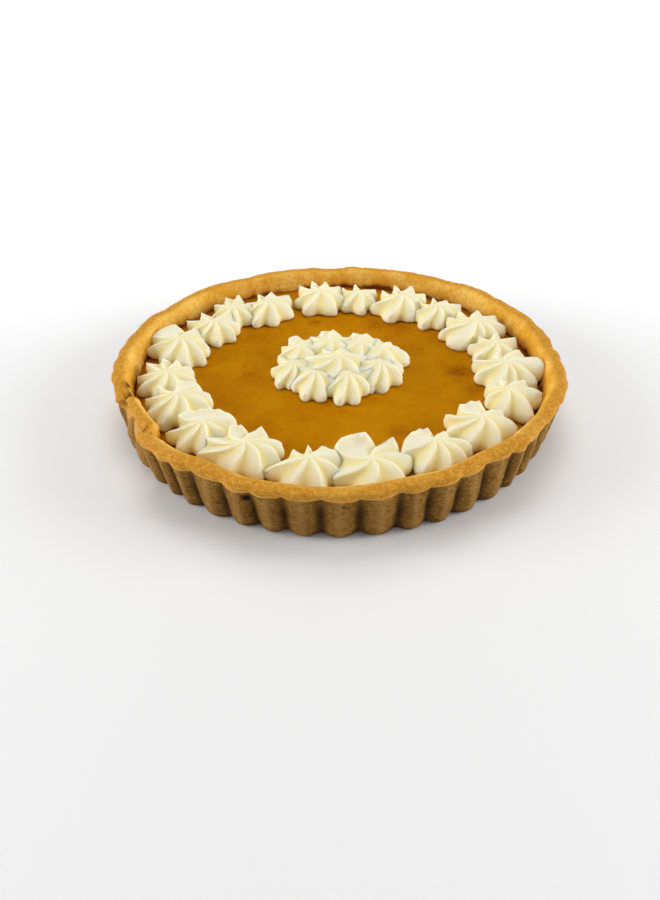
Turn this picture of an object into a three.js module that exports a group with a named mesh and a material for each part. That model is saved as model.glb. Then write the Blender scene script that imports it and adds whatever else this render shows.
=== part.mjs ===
// A nine-inch pumpkin pie, whole and uncut, in millimetres with +Z up.
// The origin is the middle of the flat underside of the crust.
// The pie is a fluted pastry case, a slab of pumpkin custard that fills it to a little over half
// its height, a ring of piped cream rosettes just inside the wall and a cluster of smaller ones
// in the middle. Every rosette is a piece of its own.
import * as THREE from 'three';

// ---------- driving dimensions (millimetres and degrees) ----------

const PIE_HEIGHT = 27.6; // the highest stretches of the rim
const RIM_RADIUS = 114.8; // crests of the flutes just under the rim
const FOOT_RADIUS = 112.8; // crests of the flutes on the board side
const FLUTES = 52;
const FLUTE_DEPTH = 3.1; // halfway up the side
const FOOT_FLUTE_DEPTH = 4.2;
const RIM_FLUTE_DEPTH = 0.9;
const STEPS_PER_FLUTE = 4;
const FLUTE_FULLNESS = 0.3; // small values give broad lobes with narrow creases

const RIM_CREST_RADIUS = 109.8; // where the flat of the rim turns down inside
const RIM_INNER_RADIUS = 107.2;
const RIM_INNER_DROP = 1.9;
const RIM_INNER_WAVE = 0.5;
const RIM_INNER_WAVES = 7; // round the rim
const RIM_INNER_WAVE_START = 40; // degrees
const CUSTARD_LINE_RADIUS = 105; // wall at the level of the custard
const FLOOR_RADIUS = 103.3;
const FLOOR_THICKNESS = 5;
const RIM_BAND = 2; // height of the rounded golden edge
const RIM_ROUNDING = 1.3;

const CUSTARD_LEVEL = 14.8;
const GAP = 0.3; // between any two pieces

// Flutes from the lower left to the lower right of the front, in degrees each. The others
// share what is left of the circle unevenly.
const FRONT_FLUTES_START = -131.9;
const FRONT_FLUTES = [5.1, 5.9, 7.5, 6.5, 6.2, 7.4, 7.7, 8, 6.2, 6.5, 7.3, 7, 5];
const OTHER_FLUTES_SWAY = [{ share: 0.12, pace: 2.4 }, { share: 0.08, pace: 5.3 }];

// Low places in the rim, and places where it stands out of round, or in where the amount is
// less than nothing: where they are, how far they reach to each side and how much they come to.
const RIM_DIPS = [
  { at: 91, reach: 9, amount: 1.9 },
  { at: 50, reach: 6, amount: 1 },
  { at: -3, reach: 6, amount: 1.3 },
  { at: -163, reach: 8, amount: 1.1 },
];
const RIM_SWELLS = [
  { at: 38, reach: 11, amount: 1.6 },
  { at: 145, reach: 16, amount: 1.4 },
  { at: -21, reach: 12, amount: 1.4 },
  { at: -64, reach: 18, amount: -2.4 },
  { at: -117, reach: 10, amount: -1.7 },
  { at: -157, reach: 9, amount: -2.2 },
];

// The broken stretch of the rim on the left: its outer edge has come away, and what is left
// leans in over the cream.
const BREAK = { from: -153, to: -136, fade: 3, outerLoss: 5.2, lipLoss: 1.7, innerLean: 4, lift: -0.2 };

// Rosettes: bearing from the middle, distance out, radius to the tips of the arms, height,
// number of arms and the bearing of one arm.
const RING_ROSETTES = [
  { bearing: 172, out: 87, reach: 18.5, height: 11, arms: 8, turn: 20 },
  { bearing: 155.5, out: 78.9, reach: 17, height: 10.5, arms: 8, turn: 15 },
  { bearing: 139.6, out: 83.3, reach: 16, height: 10, arms: 8, turn: 7 },
  { bearing: 126.2, out: 73.7, reach: 17, height: 11, arms: 8, turn: 25 },
  { bearing: 97.4, out: 75.6, reach: 18.5, height: 11.5, arms: 8, turn: 15 },
  { bearing: 79.6, out: 75.6, reach: 14.5, height: 10.5, arms: 7, turn: 28 },
  { bearing: 57.6, out: 76.4, reach: 19, height: 11.5, arms: 8, turn: 16 },
  { bearing: 39.6, out: 79.7, reach: 15, height: 10.5, arms: 8, turn: 5 },
  { bearing: 19.8, out: 84, reach: 18.5, height: 11, arms: 8, turn: 20 },
  { bearing: 3.2, out: 86.1, reach: 14.5, height: 9.5, arms: 7, turn: 20 },
  { bearing: -12.1, out: 86.4, reach: 18, height: 11, arms: 8, turn: 15 },
  { bearing: -28, out: 89.8, reach: 15.5, height: 10.5, arms: 8, turn: 0 },
  { bearing: -45.3, out: 89.4, reach: 16, height: 10.5, arms: 8, turn: 30 },
  { bearing: -63.2, out: 88.8, reach: 15.5, height: 10, arms: 8, turn: 0 },
  { bearing: -81.4, out: 91.5, reach: 17, height: 11, arms: 8, turn: 10 },
  { bearing: -97.4, out: 89.6, reach: 15, height: 9.5, arms: 8, turn: 5 },
  { bearing: -116, out: 88.4, reach: 17.5, height: 10.5, arms: 8, turn: 8 },
  { bearing: -132.2, out: 87.5, reach: 15.5, height: 10, arms: 8, turn: 17 },
  { bearing: -150.2, out: 86.5, reach: 17, height: 10.5, arms: 8, turn: 5 },
  { bearing: -165, out: 87.5, reach: 16.5, height: 10, arms: 8, turn: 0 },
];
const CENTRE_ROSETTES = [
  { bearing: -149.9, out: 26.3, reach: 13.5, height: 8.5, arms: 7, turn: 24 },
  { bearing: -119.2, out: 23.8, reach: 15.5, height: 8.5, arms: 7, turn: 15 },
  { bearing: -78.6, out: 23.6, reach: 16, height: 8.5, arms: 8, turn: 10 },
  { bearing: -33.2, out: 25.7, reach: 15.5, height: 9, arms: 8, turn: 8 },
  { bearing: -2, out: 25, reach: 13, height: 10, arms: 7, turn: 30 },
  { bearing: 22.6, out: 13, reach: 14.5, height: 10.5, arms: 7, turn: 33 },
  { bearing: 113, out: 7.6, reach: 14, height: 11, arms: 7, turn: 25 },
  { bearing: 173, out: 20.7, reach: 13, height: 10, arms: 8, turn: 5 },
  { bearing: -90, out: 11, reach: 13, height: 11.5, arms: 7, turn: 10 },
];

// A rosette from its foot to just under its peak: part of the height, part of the reach at
// the crest of an arm, and how deep the valley between two arms cuts in.
const ROSETTE_RINGS = [
  { up: 0, out: 0.9, valley: 0.28 },
  { up: 0.14, out: 1, valley: 0.3 },
  { up: 0.45, out: 1, valley: 0.33 },
  { up: 0.7, out: 0.85, valley: 0.38 },
  { up: 0.86, out: 0.56, valley: 0.43 },
  { up: 0.95, out: 0.26, valley: 0.45 },
];
const ROSETTE_CURL = 32; // degrees that an arm curls round from its tip to the peak

// ---------- closed surfaces ----------

const radians = THREE.MathUtils.degToRad;

function polar(radius, azimuth, height) {
  return new THREE.Vector3(radius * Math.cos(azimuth), radius * Math.sin(azimuth), height);
}

// A closed surface through rings of equally many points, with a single point at each end.
// Rings run anticlockwise seen from above, and follow each other outwards from the start.
function closedSurface(start, rings, end) {
  const points = [start, ...rings.flat(), end];
  const count = rings[0].length;
  const last = rings.length - 1;
  const at = (ring, step) => 1 + ring * count + (step % count);
  const faces = [];
  for (let step = 0; step < count; step += 1) {
    faces.push(0, at(0, step + 1), at(0, step));
    for (let ring = 0; ring < last; ring += 1) {
      faces.push(at(ring, step), at(ring, step + 1), at(ring + 1, step + 1));
      faces.push(at(ring, step), at(ring + 1, step + 1), at(ring + 1, step));
    }
    faces.push(points.length - 1, at(last, step), at(last, step + 1));
  }
  const geometry = new THREE.BufferGeometry().setFromPoints(points);
  geometry.setIndex(faces);
  geometry.computeVertexNormals();
  return geometry;
}

// ---------- crust ----------

// Degrees that each flute takes, starting at the lower left of the front.
function fluteWidths() {
  const others = FLUTES - FRONT_FLUTES.length;
  const left = 360 - FRONT_FLUTES.reduce((sum, width) => sum + width, 0);
  const sway = (k) => OTHER_FLUTES_SWAY.reduce((sum, { share, pace }) => sum + share * Math.sin(pace * k), 0);
  const uneven = Array.from({ length: others }, (_, k) => 1 + sway(k));
  const total = uneven.reduce((sum, width) => sum + width, 0);
  return [...FRONT_FLUTES, ...uneven.map((width) => (left * width) / total)];
}

// Azimuth of every point round the crust, and how far it stands up its flute, from 0 in the
// crease to 1 on the crest.
function crustStations() {
  const stations = [];
  let crease = FRONT_FLUTES_START;
  for (const width of fluteWidths()) {
    for (let step = 0; step < STEPS_PER_FLUTE; step += 1) {
      const part = step / STEPS_PER_FLUTE;
      const lobe = Math.sin(Math.PI * part) ** (2 * FLUTE_FULLNESS);
      stations.push({ degrees: crease + part * width, lobe });
    }
    crease += width;
  }
  return stations;
}

function signedTurn(from, to) {
  return THREE.MathUtils.euclideanModulo(to - from + 180, 360) - 180;
}

// What the places in a list come to together at this azimuth.
function sumOfPlaces(places, degrees) {
  const amounts = places.map(({ at, reach, amount }) => {
    const away = Math.abs(signedTurn(at, degrees)) / reach;
    return away < 1 ? amount * Math.cos((away * Math.PI) / 2) ** 2 : 0;
  });
  return amounts.reduce((sum, amount) => sum + amount, 0);
}

// How much of the break is met at this azimuth, from 0 to 1.
function breakShare(degrees) {
  const middle = (BREAK.from + BREAK.to) / 2;
  const half = (BREAK.to - BREAK.from) / 2;
  const beyond = Math.abs(signedTurn(middle, degrees)) - half;
  return THREE.MathUtils.clamp(1 - beyond / BREAK.fade, 0, 1);
}

function rimInnerWave(degrees) {
  const wave = RIM_INNER_WAVE * Math.sin(radians(RIM_INNER_WAVES * degrees + RIM_INNER_WAVE_START));
  return wave - BREAK.innerLean * breakShare(degrees);
}

function crust() {
  const stations = crustStations();
  const ring = (radius, height) => stations.map(({ degrees, lobe }) => {
    const at = {
      degrees,
      lobe,
      top: PIE_HEIGHT - sumOfPlaces(RIM_DIPS, degrees) + BREAK.lift * breakShare(degrees),
      swell: sumOfPlaces(RIM_SWELLS, degrees),
      loss: BREAK.outerLoss * breakShare(degrees),
      lipLoss: BREAK.lipLoss * breakShare(degrees),
    };
    return polar(radius(at), radians(degrees), height(at));
  });
  const side = (crest, depth) => ({ lobe }) => crest - depth * (1 - lobe);
  const rimCrest = (at) => side(RIM_RADIUS, RIM_FLUTE_DEPTH)(at) + at.swell;
  const rings = [
    ring(side(FOOT_RADIUS, FOOT_FLUTE_DEPTH), () => 0),
    ring((at) => side((FOOT_RADIUS + RIM_RADIUS) / 2, FLUTE_DEPTH)(at) + at.swell / 2, () => PIE_HEIGHT / 2),
    ring((at) => rimCrest(at) - at.lipLoss, (at) => at.top - RIM_BAND),
    ring((at) => rimCrest(at) - at.loss, (at) => at.top - RIM_ROUNDING / 2),
    ring((at) => rimCrest(at) - at.loss - RIM_ROUNDING, (at) => at.top),
    ring((at) => RIM_CREST_RADIUS + at.swell + rimInnerWave(at.degrees), (at) => at.top),
    ring((at) => RIM_INNER_RADIUS + at.swell + rimInnerWave(at.degrees), (at) => at.top - RIM_INNER_DROP),
    ring(() => CUSTARD_LINE_RADIUS, () => CUSTARD_LEVEL),
    ring(() => FLOOR_RADIUS, () => FLOOR_THICKNESS),
  ];
  return closedSurface(polar(0, 0, 0), rings, polar(0, 0, FLOOR_THICKNESS));
}

// ---------- custard ----------

function custard() {
  const count = (FLUTES * STEPS_PER_FLUTE) / 2;
  const ring = (radius, height) => Array.from({ length: count }, (_, k) => (
    polar(radius - GAP, (2 * Math.PI * k) / count, height)
  ));
  const underside = FLOOR_THICKNESS + GAP;
  const rings = [ring(FLOOR_RADIUS, underside), ring(CUSTARD_LINE_RADIUS, CUSTARD_LEVEL)];
  return closedSurface(polar(0, 0, underside), rings, polar(0, 0, CUSTARD_LEVEL));
}

// ---------- cream ----------

// Distance from the rosette's middle to the line that it shares with a neighbour.
function shareLine(rosette, neighbour) {
  const apart = rosette.middle.distanceTo(neighbour.middle);
  return (apart * rosette.reach) / (rosette.reach + neighbour.reach) - GAP / 2;
}

// Distance from the rosette's middle to the crust's wall, in one direction.
function wallLimit(middle, direction) {
  const wall = CUSTARD_LINE_RADIUS - 2 * GAP;
  const along = middle.dot(direction);
  return -along + Math.sqrt(along ** 2 - middle.lengthSq() + wall ** 2);
}

function rosetteLimit(rosette, neighbours, direction) {
  let limit = wallLimit(rosette.middle, direction);
  for (const neighbour of neighbours) {
    const towards = neighbour.middle.clone().sub(rosette.middle).normalize().dot(direction);
    if (towards > 0) limit = Math.min(limit, shareLine(rosette, neighbour) / towards);
  }
  return limit;
}

// A star-shaped drop of cream: sharp arms that rise to a peak, cut short where it meets its
// neighbours or the wall.
function rosetteBody(rosette, others) {
  const { middle, reach, height, arms, turn } = rosette;
  const foot = CUSTARD_LEVEL + GAP;
  const touches = (other) => other.middle.distanceTo(middle) < other.reach + reach + GAP;
  const neighbours = others.filter((other) => other !== rosette && touches(other));
  const rings = ROSETTE_RINGS.map(({ up, out, valley }) => (
    Array.from({ length: 2 * arms }, (_, k) => {
      const azimuth = radians(turn + ROSETTE_CURL * (1 - out)) + (Math.PI * k) / arms;
      const direction = new THREE.Vector2(Math.cos(azimuth), Math.sin(azimuth));
      const wanted = reach * out * (k % 2 ? 1 - valley : 1);
      const radius = Math.min(wanted, rosetteLimit(rosette, neighbours, direction));
      const place = middle.clone().addScaledVector(direction, radius);
      return new THREE.Vector3(place.x, place.y, foot + up * (height - GAP));
    })
  ));
  const start = new THREE.Vector3(middle.x, middle.y, foot);
  const peak = new THREE.Vector3(middle.x, middle.y, CUSTARD_LEVEL + height);
  return closedSurface(start, rings, peak);
}

// ---------- the pie ----------

const CRUST_FINISH = { color: 0xb98342, roughness: 0.85, metalness: 0 };
const CUSTARD_FINISH = { color: 0xb8730a, roughness: 0.45, metalness: 0 };
const CREAM_FINISH = { color: 0xfdf3cf, roughness: 0.5, metalness: 0 };

const pie = new THREE.Group();

function addPiece(name, geometry, finish) {
  const piece = new THREE.Mesh(geometry, new THREE.MeshStandardMaterial(finish));
  piece.name = name;
  pie.add(piece);
}

function addRosettes(prefix, rosettes) {
  const placed = rosettes.map((rosette) => {
    const bearing = radians(rosette.bearing);
    const middle = new THREE.Vector2(Math.cos(bearing), Math.sin(bearing)).multiplyScalar(rosette.out);
    return { ...rosette, middle };
  });
  placed.forEach((rosette, index) => {
    const number = String(index + 1).padStart(2, '0');
    addPiece(`${prefix}_${number}`, rosetteBody(rosette, placed), CREAM_FINISH);
  });
}

addPiece('crust', crust(), CRUST_FINISH);
addPiece('custard', custard(), CUSTARD_FINISH);
addRosettes('cream_ring', RING_ROSETTES);
addRosettes('cream_centre', CENTRE_ROSETTES);

export default pie;
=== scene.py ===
"""Looks of the pumpkin pie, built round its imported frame, in metres with +Z up.

The pastry case, the custard and every rosette of cream are modelled in edit mode, one function
each, then finished with modifiers. Sizes are given in millimetres and turned into metres by MM.
"""
import math

import bmesh
import bpy
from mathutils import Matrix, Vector


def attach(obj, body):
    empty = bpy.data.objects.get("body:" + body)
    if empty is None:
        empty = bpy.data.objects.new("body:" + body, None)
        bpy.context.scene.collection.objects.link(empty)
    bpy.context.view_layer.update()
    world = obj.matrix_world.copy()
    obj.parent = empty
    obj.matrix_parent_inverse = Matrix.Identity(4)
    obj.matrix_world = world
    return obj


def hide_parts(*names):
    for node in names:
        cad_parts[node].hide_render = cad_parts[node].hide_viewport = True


MM = 0.001
MIDDLE = (0.0, 0.0, 0.0)
# Two corners nearer to each other than this, in metres, are the same corner.
SAME_PLACE = 1e-7
# Corners round the custard and round the studio floor.
ROUND = 96

# ---------- sizes of the pie, millimetres and degrees ----------

# A bearing is the turn from +X towards +Y, so -90 is the front. A distance out is from the middle.

FLUTES = 52
# The flutes across the front, from its left to its right: where the first one starts and the
# width of each. The others share what is left, and vary by these shares of their width, each
# share with its own step in radians from flute to flute.
FRONT_FLUTES_START = -131.9
FRONT_FLUTES = [5.1, 5.9, 7.5, 6.5, 6.2, 7.4, 7.7, 8.0, 6.2, 6.5, 7.3, 7.0, 5.0]
OTHER_FLUTES_SWAY = [(0.12, 2.4), (0.08, 5.3)]
# A flute is a crease, a shoulder, a crest and a shoulder; each stands this far along its width
# and this much of the flute's depth further in than the crest.
FLUTE_CORNERS = [
    ("creases", 0.0, 1.0),
    ("shoulders", 0.2, 0.36),
    ("crests", 0.5, 0.0),
    ("shoulders", 0.8, 0.36),
]
CREASE_SHARPNESS = 0.6
# How deep in a crease each group of corners is marked, for the painted shade in the creases and the
# painted highlight on the crests, and what is left of it where the rim has broken away.
CREASE_MARKS = {"creases": 1.0, "shoulders": 0.3}
BREAK_CREASE = 0.3
# The outside of the case from the foot to the rim: height, radius of the crests, flute depth.
SIDE = [
    (0.0, 110.7, 4.0),
    (0.5, 111.9, 4.6),
    (1.6, 112.8, 4.8),
    (3.6, 113.2, 4.6),
    (8.0, 113.5, 4.0),
    (13.0, 113.7, 3.4),
    (18.0, 114.0, 2.9),
    (22.0, 114.1, 2.2),
    (23.6, 113.9, 1.5),
    (24.4, 114.3, 1.0),
    (25.6, 114.7, 0.8),
    (26.6, 114.4, 0.8),
]
# The same, from the rim's outer corner over its top and down the inside to the floor.
INSIDE = [
    (27.1, 113.2, 0.7),
    (27.2, 111.6, 0.5),
    (27.0, 110.0, 0.4),
    (26.4, 108.5, 0.3),
    (25.3, 107.5, 0.3),
    (23.2, 106.9, 0.4),
    (20.0, 106.3, 0.4),
    (16.5, 105.7, 0.3),
    (14.6, 105.4, 0.2),
    (12.5, 105.0, 0.0),
    (6.0, 103.8, 0.0),
    (5.0, 102.0, 0.0),
]
# What parts the case: the middle of its wall, the heights from which the lip and the rim start
# and how far out the lip does, the top of the foot and the edge of the floor.
WALL_MIDDLE = 109.0
LIP_FROM = 23.0
RIM_FROM = 25.5
LIP_OUTSIDE = 110.0
FOOT_TOP = 1.0
FLOOR_EDGE = 102.5
# What ends up below this height is levelled with the foot.
FOOT_UNEVENNESS = 0.12
# Where the pushes on the rim are aimed: its height, the middle of its top and its outer edge.
RIM_HEIGHT = 27.0
RIM_MIDDLE = 110.5
RIM_EDGE = 112.0
# How far in from its middle the rim has turned into the inside wall.
RIM_TO_INSIDE = 3.6
# Low places in the rim: bearing, reach and depth.
RIM_DIPS = [
    (91.0, 15.0, 1.9),
    (50.0, 9.0, 1.0),
    (-3.0, 9.0, 1.3),
    (-163.0, 13.0, 1.2),
    (120.0, 12.0, 0.6),
    (76.0, 10.0, 0.5),
    (-72.0, 14.0, 0.6),
]
# Places where the case is out of round: bearing, reach and how far it stands out, or in where
# that is below nothing.
RIM_SWELLS = [
    (-21.0, 24.0, 1.6),
    (-3.0, 10.0, -1.2),
    (16.0, 14.0, 1.2),
    (38.0, 20.0, 1.9),
    (74.0, 22.0, -0.9),
    (139.0, 30.0, 1.7),
    (155.0, 9.0, -1.2),
    (163.0, 11.0, 2.0),
    (-75.0, 22.0, -1.8),
    (-58.0, 24.0, -2.6),
    (-42.0, 14.0, -1.0),
    (-117.0, 18.0, -2.0),
    (-109.0, 14.0, 0.6),
    (-157.0, 14.0, -2.4),
]
# The broken stretch of the rim, at the left: its two ends, what its outer edge has lost and how
# far it leans in.
BREAK_FROM = -152.5
BREAK_TO = -137.5
BREAK_LOSS = 1.2
BREAK_LEAN = 4.2
# The lost edge lies above this height and outside the first of these distances, and its loss is
# measured at the second.
LOST_ABOVE = 22.6
LOST_OUTSIDE = 110.2
LOST_AT = 112.5
# The lean grows by equal steps, one at each of these heights.
LEAN_HEIGHTS = [11.0, 15.0, 19.0, LOST_ABOVE]
# Along the break the side turns golden from this height up to the lip, by this much of the way.
BREAK_GOLDEN_FROM = 8.0
BREAK_GOLDEN = 0.4
# How the torn rim is roughened, coarsely and then finely: the bearing and the height it starts
# from, how far a corner may move, and the seed of its random moves.
TORN_COARSELY = (-170.0, 23.5, 0.35, 4)
TORN_FINELY = (-164.0, 23.0, 0.16, 7)
# Cracks across the torn rim: bearing, distance out, reach and depth.
RIM_CRACKS = [
    (-153.0, 112.0, 3.0, 1.6),
    (-153.4, 109.0, 3.0, 2.6),
    (-166.0, 108.0, 3.5, 1.2),
    (-137.5, 112.5, 3.5, 1.6),
    (-138.0, 109.0, 3.0, 1.4),
]
# A pit is pushed down by its depth, and outward by this share of it.
PIT_SLANT = 0.3
# Pits where the rim has crumbled at both ends of the break: bearing, distance out, reach, depth.
RIM_PITS = [
    (-161.3, 106.4, 3.0, 3.8),
    (-159.6, 107.4, 1.7, 2.0),
    (-157.6, 107.0, 1.6, 1.2),
    (-155.8, 106.8, 3.0, 4.0),
    (-153.9, 108.0, 2.2, 2.8),
    (-152.8, 109.4, 1.7, 2.0),
    (-137.2, 109.4, 1.4, 1.8),
    (-136.8, 108.0, 1.5, 2.2),
    (-136.3, 106.6, 1.5, 2.4),
    (-135.6, 105.6, 1.5, 2.4),
]
# Baked unevenness, from the broad to the fine: the pattern's name, the size of its lumps, its
# fineness, how strong it is, the part of the case and the way that it moves.
CRUMBLING = [
    ("wavy_lip", 11.0, 1, 1.5, "lip", "Z"),
    ("slump", 30.0, 1, 1.0, "clear_of_foot", "NORMAL"),
    ("dough", 7.0, 2, 0.6, "clear_of_foot", "NORMAL"),
    ("crumb", 2.2, 2, 0.35, "clear_of_foot", "NORMAL"),
    ("rim_crumb", 1.2, 2, 0.3, "rim", "NORMAL"),
]

CUSTARD_LEVEL = 14.8
CUSTARD_RADIUS = 105.2
# The custard's underside, a height halfway up its edge, and the height from which it is its top.
CUSTARD_FOOT = 6.0
CUSTARD_HALFWAY = 8.0
CUSTARD_TOP_FROM = 10.0
# Rings of corners from the custard's edge to its middle.
CUSTARD_RINGS = 24
# Width of the band along its edge that is painted darker, for its browned edge and the painted shade
# against the wall.
CUSTARD_BAND = 7.0
# The custard's edge creeps up the wall a little: height and radius.
CUSTARD_EDGE = [(14.0, 105.4), (15.2, 105.5), (15.0, 105.0), (14.8, 103.6)]

# Rosettes: bearing, distance out, height, how far the arms curl round towards the peak, then
# every arm's own bearing from the rosette's middle, its reach and the height of its tip.
RING_ROSETTES = [
    (172.0, 87.0, 11.0, 25, [(69, 17.5, 7), (111, 20, 9), (135, 21, 8), (160, 23, 7), (192, 20, 5),
                             (245, 18, 4), (288, 20, 3.5), (318, 21, 4), (350, 16, 5)]),
    (155.5, 78.9, 10.5, 35, [(158, 20, 7), (122, 19, 8.5), (60, 18, 8), (10, 15, 6), (330, 16, 4),
                             (285, 15.5, 3.5), (240, 14, 4), (197, 15, 5)]),
    (139.6, 83.3, 10.0, 25, [(85, 18, 10), (112, 20, 7.5), (142, 19, 5), (190, 14, 4), (235, 13, 4),
                             (285, 15, 4), (330, 15, 5), (30, 15, 7)]),
    (126.2, 73.7, 11.0, 40, [(112, 17, 8.5), (80, 17, 9.5), (42, 20, 8), (350, 18, 4),
                             (293, 17, 3.5), (250, 18.5, 3.5), (205, 15, 4), (160, 15, 6)]),
    (97.4, 75.6, 11.5, 30, [(194, 18, 5), (143, 18.5, 9.5), (108, 18.5, 10), (76, 17, 10),
                            (35, 17, 9), (340, 18, 5), (300, 20, 4), (240, 20, 4)]),
    (79.6, 75.6, 10.5, 35, [(90, 13.5, 9.5), (135, 13, 9), (22, 15, 8), (330, 15, 4), (282, 18, 4),
                            (235, 15, 4), (180, 14, 5)]),
    (57.6, 76.4, 11.5, 40, [(93, 18, 10.5), (56, 18.5, 10.5), (16, 18.5, 8.5), (335, 17, 5),
                            (293, 19, 4), (245, 20.5, 4), (190, 20, 5.5), (132, 16, 9.5)]),
    (39.6, 79.7, 10.5, 35, [(86, 14, 9), (50, 15, 8), (15, 18, 7), (330, 14, 4), (278, 15, 4),
                            (234, 18, 3.5), (180, 14, 5), (130, 14, 8)]),
    (19.8, 84.0, 11.0, 40, [(105, 18, 9), (65, 18, 9), (30, 19.5, 8), (354, 20, 6), (318, 18, 5),
                            (285, 15, 4), (245, 20, 4), (222, 20.5, 4), (190, 20, 5), (138, 17, 7)]),
    (3.2, 86.1, 9.5, 25, [(28, 16.5, 7), (72, 15, 8), (118, 14, 7), (165, 14, 5), (218, 15, 4.5),
                          (265, 13, 4), (315, 14, 5)]),
    (-12.1, 86.4, 11.0, 35, [(48, 20.5, 8), (13, 21, 8.5), (349, 21.5, 8), (315, 20, 5),
                             (278, 16, 4), (248, 19, 4), (197, 15, 5), (150, 16, 6), (88, 14, 8)]),
    (-28.0, 89.8, 10.5, 30, [(0, 20.5, 6), (300, 19, 4), (252, 15, 4), (190, 9, 6),
                             (130, 11, 7), (80, 14, 8), (38, 16, 8)]),
    (-45.3, 89.4, 10.5, 35, [(30, 14, 7), (79, 12, 10), (104, 11.5, 10), (129, 12, 9.5),
                             (166, 15.5, 8), (200, 16.5, 5), (238, 19, 3.5), (290, 17, 4),
                             (345, 17.5, 5)]),
    (-63.2, 88.8, 10.0, 30, [(50, 10, 7.5), (98, 8.5, 10), (122, 9.5, 9.5), (146, 10.5, 8.5),
                             (171, 12, 7.5), (196, 14, 5.5), (245, 17, 3.5), (290, 16, 3.5),
                             (330, 16, 4), (358, 17, 5)]),
    (-81.4, 91.5, 9.5, 45, [(12, 18, 5), (50, 17, 9.5), (95, 14.5, 11.5), (108, 15, 10.4),
                            (122, 16, 9), (134, 17, 7.8), (146, 17.5, 6.2),
                            (203, 17.5, 4.5), (262, 16, 3), (325, 17, 4)]),
    (-97.4, 89.6, 9.5, 20, [(5, 13, 6), (28, 12, 7.5), (52, 9.5, 8), (92, 8, 9.5), (134, 9.5, 7.5),
                            (189, 19, 3.5), (240, 16, 3.5), (292, 16, 3.5), (335, 16, 4)]),
    (-116.0, 88.4, 10.0, 45, [(3, 16.5, 6.5), (55, 13, 9.5), (100, 11.5, 10.5),
                              (122, 13, 9.8), (160, 19, 7.5), (187, 20.5, 5), (245, 16, 3.5),
                              (298, 17.5, 3.5), (335, 18, 4)]),
    (-132.2, 87.5, 10.0, 30, [(12, 14.5, 7), (36, 13, 8), (60, 11, 9), (84, 10, 9.5), (108, 10, 9.5),
                              (131, 11.5, 9), (154, 13.5, 8.5), (196, 17, 6), (236, 16, 4.5),
                              (280, 16, 3.5), (325, 15, 4)]),
    (-150.2, 86.5, 10.5, 35, [(50, 13.5, 7.5), (73, 12, 9), (96, 11, 9.5), (141, 15, 8),
                              (179, 16.5, 6), (221, 18, 4.5), (257, 19, 4), (295, 18, 4),
                              (340, 18.5, 4.5), (8, 15.5, 6.5)]),
    (-165.0, 87.5, 10.0, 25, [(40, 13, 7), (82, 14, 8.5), (112, 17, 8.5), (140, 20, 7.5),
                              (178, 17, 5.5), (213, 17, 4), (260, 17, 3.5), (300, 16, 4),
                              (347, 15.5, 5)]),
]
CENTRE_ROSETTES = [
    (-149.9, 26.3, 8.5, 35, [(183, 11.5, 5), (242, 15.5, 3), (272, 14, 3.5), (318, 15, 6),
                             (20, 16, 7), (75, 15, 7.5), (128, 13, 7)]),
    (-119.2, 23.8, 8.5, 30, [(254, 17.5, 3), (287, 19, 3), (217, 13, 3.5), (325, 15, 6),
                             (15, 16, 7), (80, 17, 7.5), (140, 16, 7)]),
    (-78.6, 23.6, 8.5, 30, [(258, 19, 3), (287, 19, 3), (228, 14, 4), (325, 15, 5), (10, 16, 7),
                            (60, 17, 7.5), (120, 17, 7.5), (180, 16, 6.5)]),
    (-33.2, 25.7, 9.0, 40, [(252, 18, 3), (278, 17.5, 3), (325, 15.5, 3.5), (8, 14, 4), (50, 14, 7),
                            (100, 17, 7), (150, 17, 7), (205, 16, 6.5)]),
    (-2.0, 25.0, 10.0, 35, [(350, 15.5, 3.5), (30, 12, 5), (62, 13.5, 6), (97, 14, 7.5), (150, 17, 6.5),
                            (220, 16, 6.5), (290, 14, 6.5)]),
    (22.6, 13.0, 10.5, 35, [(94, 16.5, 7), (65, 17, 6.5), (30, 15, 7), (150, 16, 7), (205, 16, 7),
                            (265, 16, 7), (325, 16, 7)]),
    (113.0, 7.6, 11.0, 30, [(82, 17, 8), (110, 15, 8.5), (145, 14, 8), (20, 16, 7.5), (320, 16, 7),
                            (260, 16, 7), (200, 16, 7.5)]),
    (173.0, 20.7, 10.0, 40, [(150, 11.5, 5), (115, 13.5, 7.5), (92, 15, 7.5), (50, 15, 8),
                             (0, 16, 7), (200, 12, 5), (250, 16, 6.5), (305, 17, 7)]),
    (-90.0, 11.0, 11.5, 40, [(8, 17, 7.5), (60, 17, 7.5), (112, 17, 8), (165, 17, 7.5),
                             (215, 17, 7.5), (265, 16, 7.5), (312, 17, 7.5)]),
]
# A rosette from foot to peak: part of its height, of its reach at the arms' ridges and in the
# valleys between them, and how far the flanks stand in from ridge to valley.
ROSETTE_LEVELS = [
    (0.00, 0.90, 0.64, 0.20),
    (0.12, 0.99, 0.68, 0.24),
    (0.30, 1.03, 0.69, 0.34),
    (0.47, 1.01, 0.66, 0.50),
    (0.61, 0.94, 0.59, 0.66),
    (0.72, 0.83, 0.49, 0.76),
    (0.81, 0.68, 0.38, 0.80),
    (0.88, 0.51, 0.27, 0.80),
    (0.93, 0.34, 0.18, 0.78),
    (0.97, 0.17, 0.09, 0.70),
]
# The level at which an arm ends in its tip, and the part of the height at which all arms close.
TIP_LEVEL = ROSETTE_LEVELS[3]
PEAK_LEVEL = 1.01
# The corners between one arm's ridge and the next: how far on they stand, and their group.
VALLEY_STEPS = [(0.2, "flanks"), (0.42, "valleys"), (0.7, "flanks")]
# Arms less than this many degrees apart are one broad leaf of cream, with no valley.
LEAF_GAP = 26.0
LEAF_STEPS = [(0.25, "leaves"), (0.5, "leaves"), (0.75, "leaves")]
# Valleys between arms less than this many degrees apart are fuller, by up to this share.
CLOSE_GAP = 45.0
CLOSE_FILL = 0.5
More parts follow.
